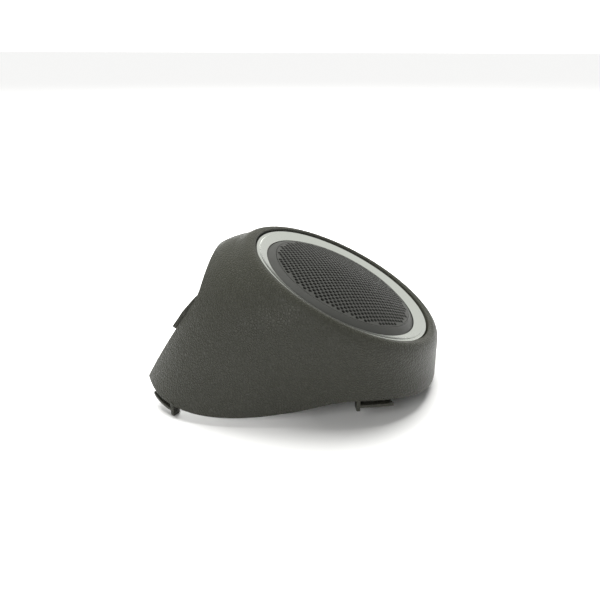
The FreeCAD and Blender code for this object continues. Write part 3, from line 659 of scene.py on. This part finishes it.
def build_mesh(look):
    """Perforated dome: a cell for each hole, with a rounded hole lip, wrapped over the sphere."""
    radius = (MESH_R**2 + MESH_RISE**2) / (2 * MESH_RISE)
    centre_h = MESH_RIM_H + MESH_RISE - radius
    turn = cell_directions()
    cell = cell_border(turn)
    circle = np.stack([np.cos(turn), np.sin(turn)], -1)
    lip = (
        (HOLE_R + 0.12, 0.0), (HOLE_R + 0.04, 0.03), (HOLE_R, 0.12), (HOLE_R, MESH_T - 0.08),
        (HOLE_R + 0.08, MESH_T),
    )
    rows = int(MESH_R / HOLE_ROW_STEP) + 2
    solid = Solid()

    def on_dome(points, depth):
        """Flat (x, y) points laid on the dome, at a depth below its outer face, kept inside the rim."""
        reach = np.linalg.norm(points, axis=-1, keepdims=True)
        points = points * np.minimum(1.0, MESH_R / np.maximum(reach, 1e-9))
        height = np.sqrt(radius**2 - (points**2).sum(-1))
        shell = (radius + MESH_T - depth) / radius
        return np.concatenate([points, (centre_h + height * shell)[..., None]], -1)

    def band(first, second):
        return [(first + k, first + (k + 1) % HOLE_STEPS, second + (k + 1) % HOLE_STEPS, second + k)
                for k in range(HOLE_STEPS)]

    for row in range(-rows, rows + 1):
        for column in range(-rows, rows + 1):
            middle = np.array([(column + 0.5 * (row % 2)) * HOLE_PITCH, row * HOLE_ROW_STEP])
            border = middle + cell
            if np.linalg.norm(border, axis=1).min() > MESH_R - 0.02:
                continue
            loops = [on_dome(border, 0.0)]
            if np.linalg.norm(middle) <= MESH_R - HOLE_R - MESH_BORDER:
                loops += [on_dome(middle + circle * r, depth) for r, depth in lip]
                loops.append(on_dome(border, MESH_T))
                faces = [f for k in range(len(loops) - 1) for f in band(k * HOLE_STEPS, (k + 1) * HOLE_STEPS)]
            else:
                loops.append(on_dome(border, MESH_T))
                faces = [tuple(range(HOLE_STEPS)), tuple(range(HOLE_STEPS, 2 * HOLE_STEPS))]
            solid.add(ring_to_pod(spin(np.concatenate(loops), HOLE_TURN)), faces)
    obj = solid.piece("grille_perforated", look, replaces=["grille_mesh"],
                      sharp=60)
    close_rim(obj)
    return obj


def close_rim(obj):
    """Joins the two faces of the perforated sheet along its outer rim."""
    shape = bmesh.new()
    shape.from_mesh(obj.data)
    bmesh.ops.dissolve_degenerate(shape, dist=2e-6, edges=shape.edges)
    rim = [edge for edge in shape.edges if edge.is_boundary]
    bmesh.ops.bridge_loops(shape, edges=rim)
    bmesh.ops.recalc_face_normals(shape, faces=shape.faces)
    for face in shape.faces:
        face.smooth = True
    shape.to_mesh(obj.data)
    shape.free()
    obj.data.set_sharp_from_angle(angle=math.radians(60))


# ------------------------------------------------------------------ materials
class Look:
    """A node material under construction. Texture sizes are in millimetres, in the pod's own frame."""

    def __init__(self, name, colour, roughness, metallic=0.0, specular=0.5):
        self.material = bpy.data.materials.new(name)
        self.material.use_nodes = True
        self.nodes = self.material.node_tree.nodes
        self.links = self.material.node_tree.links
        self.shader = self.nodes["Principled BSDF"]
        self.shader.inputs["Metallic"].default_value = metallic
        self.shader.inputs["Roughness"].default_value = roughness
        self.shader.inputs["Specular IOR Level"].default_value = specular
        self.colour = colour
        self.place = self.nodes.new("ShaderNodeTexCoord").outputs["Object"]
        self.normal = None

    def mapped(self, stretch=(1, 1, 1), turn=(0, 0, 0)):
        mapping = self.nodes.new("ShaderNodeMapping")
        mapping.inputs["Scale"].default_value = stretch
        mapping.inputs["Rotation"].default_value = turn
        self.links.new(self.place, mapping.inputs["Vector"])
        return mapping.outputs["Vector"]

    def noise(self, size_mm, detail=3.0, rough=0.6, vector=None):
        node = self.nodes.new("ShaderNodeTexNoise")
        node.inputs["Scale"].default_value = 1000.0 / size_mm
        node.inputs["Detail"].default_value = detail
        node.inputs["Roughness"].default_value = rough
        self.links.new(vector or self.place, node.inputs["Vector"])
        return node.outputs["Fac"]

    def cells(self, size_mm, feature="F1", vector=None):
        node = self.nodes.new("ShaderNodeTexVoronoi")
        node.feature = feature
        node.inputs["Scale"].default_value = 1000.0 / size_mm
        self.links.new(vector or self.place, node.inputs["Vector"])
        return node.outputs["Distance"]

    def wave(self, size_mm, vector=None, direction="X", distortion=0.0):
        node = self.nodes.new("ShaderNodeTexWave")
        node.bands_direction = direction
        node.inputs["Scale"].default_value = 1000.0 / size_mm / 3.1416
        node.inputs["Distortion"].default_value = distortion
        self.links.new(vector or self.place, node.inputs["Vector"])
        return node.outputs["Fac"]

    def ramp(self, value, low, high, at=(0.0, 1.0)):
        node = self.nodes.new("ShaderNodeMapRange")
        node.interpolation_type = "SMOOTHSTEP"
        node.inputs["From Min"].default_value, node.inputs["From Max"].default_value = at
        node.inputs["To Min"].default_value, node.inputs["To Max"].default_value = low, high
        self.links.new(value, node.inputs["Value"])
        return node.outputs["Result"]

    def combine(self, kind, a, b):
        node = self.nodes.new("ShaderNodeMath")
        node.operation = kind
        for value, socket in ((a, node.inputs[0]), (b, node.inputs[1])):
            if isinstance(value, (int, float)):
                socket.default_value = value
            else:
                self.links.new(value, socket)
        return node.outputs["Value"]

    def tint(self, value, spread):
        """Colour that varies with a 0 to 1 value, by a share of itself either way."""
        node = self.nodes.new("ShaderNodeMix")
        node.data_type = "RGBA"
        dark = [c * (1 - spread) for c in self.colour] + [1.0]
        light = [min(1.0, c * (1 + spread)) for c in self.colour] + [1.0]
        node.inputs["A"].default_value, node.inputs["B"].default_value = dark, light
        self.links.new(value, node.inputs["Factor"])
        self.links.new(node.outputs["Result"], self.shader.inputs["Base Color"])
        return self

    def bump(self, height, depth_mm, strength=1.0):
        node = self.nodes.new("ShaderNodeBump")
        node.inputs["Strength"].default_value = strength
        node.inputs["Distance"].default_value = depth_mm * MM
        self.links.new(height, node.inputs["Height"])
        if self.normal:
            self.links.new(self.normal, node.inputs["Normal"])
        self.normal = node.outputs["Normal"]
        self.links.new(self.normal, self.shader.inputs["Normal"])
        return self

    def roughness(self, value, low, high):
        self.links.new(self.ramp(value, low, high), self.shader.inputs["Roughness"])
        return self


def leather_grain():
    """Moulded leather grain: rounded cells about a millimetre wide with narrow valleys."""
    look = Look("grained_plastic", (0.031, 0.0314, 0.0232), 0.42, specular=0.24)
    warp = look.nodes.new("ShaderNodeVectorMath")
    warp.operation = "ADD"
    wobble = look.nodes.new("ShaderNodeVectorMath")
    wobble.operation = "SCALE"
    field = look.nodes.new("ShaderNodeTexNoise")
    field.inputs["Scale"].default_value = 1000.0 / 2.2
    look.links.new(look.place, field.inputs["Vector"])
    look.links.new(field.outputs["Color"], wobble.inputs[0])
    wobble.inputs["Scale"].default_value = 0.0006
    look.links.new(look.place, warp.inputs[0])
    look.links.new(wobble.outputs["Vector"], warp.inputs[1])
    edges = look.cells(0.95, "DISTANCE_TO_EDGE", warp.outputs["Vector"])
    grain = look.ramp(edges, 0.0, 1.0, (0.0, 0.28))
    fine = look.noise(0.35, 2.0)
    look.tint(look.combine("MULTIPLY", grain, look.noise(14.0, 4.0)), 0.22)
    look.bump(look.combine("ADD", grain, look.combine("MULTIPLY", fine, 0.3)), 0.15)
    look.roughness(look.noise(6.0, 4.0), 0.36, 0.44)
    return look.material


def satin_chrome():
    look = Look("bright_plating", (0.77, 0.80, 0.74), 0.2, metallic=1.0)
    look.tint(look.noise(9.0, 3.0), 0.02)
    look.bump(look.noise(2.5, 2.0), 0.0006, 0.3)
    look.roughness(look.noise(4.0, 4.0), 0.17, 0.21)
    return look.material


def moulded(name, colour, roughness, texture_mm=0.3, depth_mm=0.012, specular=0.45):
    """Plastic with a fine spark-eroded mould texture."""
    look = Look(name, colour, roughness, specular=specular)
    look.tint(look.noise(8.0, 4.0), 0.14)
    look.bump(look.noise(texture_mm, 3.0), depth_mm)
    look.roughness(look.noise(3.0, 4.0), roughness - 0.06, roughness + 0.06)
    return look.material


def plated(name, colour, roughness, grain_mm=1.2, stretch=(1, 1, 14)):
    """Metal with fine drawn or turned lines."""
    look = Look(name, colour, roughness, metallic=1.0)
    lines = look.noise(grain_mm, 4.0, 0.7, look.mapped(stretch))
    look.tint(look.combine("MULTIPLY", lines, look.noise(7.0)), 0.16)
    look.bump(lines, 0.006, 0.6)
    look.roughness(look.noise(2.5, 4.0), roughness - 0.08, roughness + 0.1)
    return look.material


def woven(name, colour, pitch_mm, depth_mm, roughness=0.85):
    """Plain weave in the plane of the grille."""
    look = Look(name, colour, roughness, specular=0.25)
    tilt = math.atan2(AXIS[0], AXIS[2])
    flat = look.mapped(turn=(0, -tilt, 0))
    weave = look.combine("MULTIPLY", look.wave(pitch_mm, flat, "X", 0.4), look.wave(pitch_mm, flat, "Y", 0.4))
    look.tint(look.combine("ADD", weave, look.combine("MULTIPLY", look.noise(5.0), 0.3)), 0.4)
    look.bump(weave, depth_mm)
    return look.material


def felted(name, colour):
    look = Look(name, colour, 0.95, specular=0.15)
    fibres = look.noise(0.5, 8.0, 0.75, look.mapped((1, 2.5, 1.4)))
    look.tint(fibres, 0.5)
    look.bump(fibres, 0.25)
    look.shader.inputs["Sheen Weight"].default_value = 0.4
    return look.material


def foamed(name, colour):
    look = Look(name, colour, 0.92, specular=0.2)
    pores = look.cells(0.55)
    look.tint(pores, 0.35)
    look.bump(pores, 0.2)
    return look.material


def wound(name, colour):
    """Enamelled wire laid in turns round the tweeter axis."""
    look = Look(name, colour, 0.3, metallic=1.0)
    tilt = math.atan2(AXIS[0], AXIS[2])
    turns = look.wave(0.16, look.mapped(turn=(0, -tilt, 0)), "Z")
    look.tint(turns, 0.3)
    look.bump(turns, 0.05)
    return look.material


def grille_paint():
    look = Look("black_grille_paint", (0.024, 0.0245, 0.021), 0.36, specular=0.5)
    look.tint(look.noise(5.0, 4.0), 0.15)
    look.bump(look.noise(0.22, 3.0), 0.01)
    look.roughness(look.noise(1.6, 4.0), 0.36, 0.5)
    return look.material


# ------------------------------------------------------------------ the rest of the CAD nodes
def dress(names, look):
    """Gives CAD nodes their material and even shading."""
    for name in names:
        node = frame["nodes"][name]
        node.data.materials.clear()
        node.data.materials.append(look)
        node.data.polygons.foreach_set("use_smooth", [True] * len(node.data.polygons))
        node.data.set_sharp_from_angle(angle=math.radians(32))


def build_object():
    build_housing(leather_grain())
    build_bezel(satin_chrome())
    build_grille_frame(moulded("satin_black_plastic", (0.033, 0.0335, 0.030), 0.46, 0.25, 0.006, 0.38))
    build_mesh(grille_paint())
    black = moulded("black_moulding", (0.028, 0.028, 0.027), 0.5)
    dress(["acoustic_cloth"], woven("black_cloth", (0.012, 0.012, 0.012), 0.4, 0.06))
    dress(["front_gasket"], foamed("foam", (0.03, 0.03, 0.03)))
    dress(["tweeter_frame", "tweeter_carrier", "terminal_block"], black)
    dress(["surround", "dome_diaphragm"], woven("coated_silk", (0.03, 0.03, 0.034), 0.3, 0.03, 0.5))
    dress(["coil_former"], plated("former_foil", (0.75, 0.75, 0.76), 0.3))
    dress(["voice_coil", "lead_out_wires"], wound("copper_wire", (0.72, 0.33, 0.17)))
    dress(["pole_felt", "felt_pads"], felted("grey_felt", (0.13, 0.13, 0.12)))
    steel = plated("plated_steel", (0.6, 0.61, 0.62), 0.34)
    dress(["pole_plate", "yoke_cup", "carrier_screws", "mounting_bush"], steel)
    dress(["magnet_disc"], plated("nickel_plating", (0.7, 0.68, 0.63), 0.2, 3.0, (1, 1, 1)))
    dress(["spring_clips"], plated("spring_steel", (0.3, 0.295, 0.29), 0.4))
    tinned = plated("tinned_brass", (0.74, 0.71, 0.6), 0.32)
    dress(["terminal_blades", "receptacles", "capacitor_leads", "connector_pins"], tinned)
    dress(["capacitor_can"], moulded("capacitor_sleeve", (0.015, 0.045, 0.15), 0.25, 1.2, 0.01))
    dress(["supply_wire", "feed_wire"], moulded("red_insulation", (0.36, 0.02, 0.015), 0.38))
    dress(["return_wire"], moulded("black_insulation", (0.02, 0.02, 0.02), 0.38))
    dress(["splice_sleeves"], moulded("shrink_sleeve", (0.018, 0.018, 0.018), 0.45, 0.8, 0.03))
    dress(["cable_tie"], moulded("natural_nylon", (0.62, 0.6, 0.53), 0.4))
    dress(["connector_body"], moulded("grey_connector", (0.2, 0.2, 0.2), 0.42))
    dress(["connector_lock"], moulded("orange_lock", (0.75, 0.17, 0.02), 0.4))


# ------------------------------------------------------------------ studio
FLOOR_SIZE = 9.0
FLOOR_GLOW = 0.7  # keeps the floor white far from the pod, where no lamp reaches
FLOOR_FADE = (0.09, 0.5)  # distance over which that glow comes in, m
WORLD_LIGHT = 0.22  # brightness of the surroundings as a light
WORLD_MIRRORED = 0.72  # as seen in reflections
WORLD_SEEN = 1.2  # as seen by the camera
OVERHEAD_LAMP = ((-0.1, 0.4, 0.72), 1.1, 24.0)  # place and width in m, power in W
FRONT_LAMP = ((-0.32, -0.72, 0.42), 0.4, 3.4)
LAMP_TARGET = (-0.015, 0, 0.03)
VIEW_AZIMUTH = 7.33
VIEW_ELEVATION = 23.0
RING_IN_VIEW = (16.68, 7.46, 237.7)  # ring centre right of, above and in front of the camera, mm
LENS = 37.68


def floor_look():
    look = Look("studio_floor", (0.86, 0.86, 0.845), 0.75, specular=0.1)
    look.tint(look.noise(900.0), 0.01)
    distance = look.nodes.new("ShaderNodeVectorMath")
    distance.operation = "LENGTH"
    look.links.new(look.place, distance.inputs[0])
    glow = look.ramp(distance.outputs["Value"], 0.0, FLOOR_GLOW, FLOOR_FADE)
    look.links.new(glow, look.shader.inputs["Emission Strength"])
    look.shader.inputs["Emission Color"].default_value = (1.0, 1.0, 1.0, 1.0)
    return look.material


def build_floor():
    mesh = bpy.data.meshes.new("studio_floor")
    half = FLOOR_SIZE / 2
    low = cad_bounds[0][2] - 0.00005
    corners = [(-half, -half, low), (half, -half, low), (half, half, low), (-half, half, low)]
    mesh.from_pydata(corners, [], [(0, 1, 2, 3)])
    floor = bpy.data.objects.new("studio_floor", mesh)
    bpy.context.scene.collection.objects.link(floor)
    mesh.materials.append(floor_look())


def soft_light(name, place, size, power, mirrored=True):
    light = bpy.data.lights.new(name, "AREA")
    light.shape = "DISK"
    light.size = size
    light.energy = power
    obj = bpy.data.objects.new(name, light)
    bpy.context.scene.collection.objects.link(obj)
    obj.location = place
    obj.visible_glossy = mirrored
    direction = Vector(LAMP_TARGET) - Vector(place)
    obj.rotation_euler = direction.to_track_quat("-Z", "Y").to_euler()


def build_studio():
    build_floor()
    world = bpy.data.worlds.new("studio")
    bpy.context.scene.world = world
    world.use_nodes = True
    background = world.node_tree.nodes["Background"]
    background.inputs["Color"].default_value = (1.0, 1.0, 0.985, 1.0)
    path = world.node_tree.nodes.new("ShaderNodeLightPath")
    links = world.node_tree.links
    mirrored, seen = (world.node_tree.nodes.new("ShaderNodeMix") for _ in range(2))
    links.new(path.outputs["Is Glossy Ray"], mirrored.inputs["Factor"])
    links.new(path.outputs["Is Camera Ray"], seen.inputs["Factor"])
    mirrored.inputs["A"].default_value = WORLD_LIGHT
    mirrored.inputs["B"].default_value = WORLD_MIRRORED
    links.new(mirrored.outputs["Result"], seen.inputs["A"])
    seen.inputs["B"].default_value = WORLD_SEEN
    links.new(seen.outputs["Result"], background.inputs["Strength"])
    soft_light("overhead", *OVERHEAD_LAMP, mirrored=False)
    soft_light("left_front", *FRONT_LAMP)


def build_camera():
    a, e = math.radians(VIEW_AZIMUTH), math.radians(VIEW_ELEVATION)
    forward = np.array([-math.sin(a) * math.cos(e), math.cos(a) * math.cos(e), -math.sin(e)])
    right = np.array([math.cos(a), math.sin(a), 0.0])
    up = np.array([-math.sin(a) * math.sin(e), math.cos(a) * math.sin(e), math.cos(e)])
    x, y, depth = RING_IN_VIEW
    place = (CENTRE - right * x - up * y - forward * depth) * MM
    camera = bpy.data.cameras.new("camera")
    camera.lens = LENS
    camera.clip_start = 0.01
    obj = bpy.data.objects.new("camera", camera)
    bpy.context.scene.collection.objects.link(obj)
    turn = Matrix((right, up, -forward)).transposed().to_4x4()
    obj.matrix_world = Matrix.Translation(place) @ turn
    bpy.context.scene.camera = obj


build_object()
build_studio()
build_camera()
bpy.context.scene.view_settings.view_transform = "Standard"

bpy.context.view_layer.update()
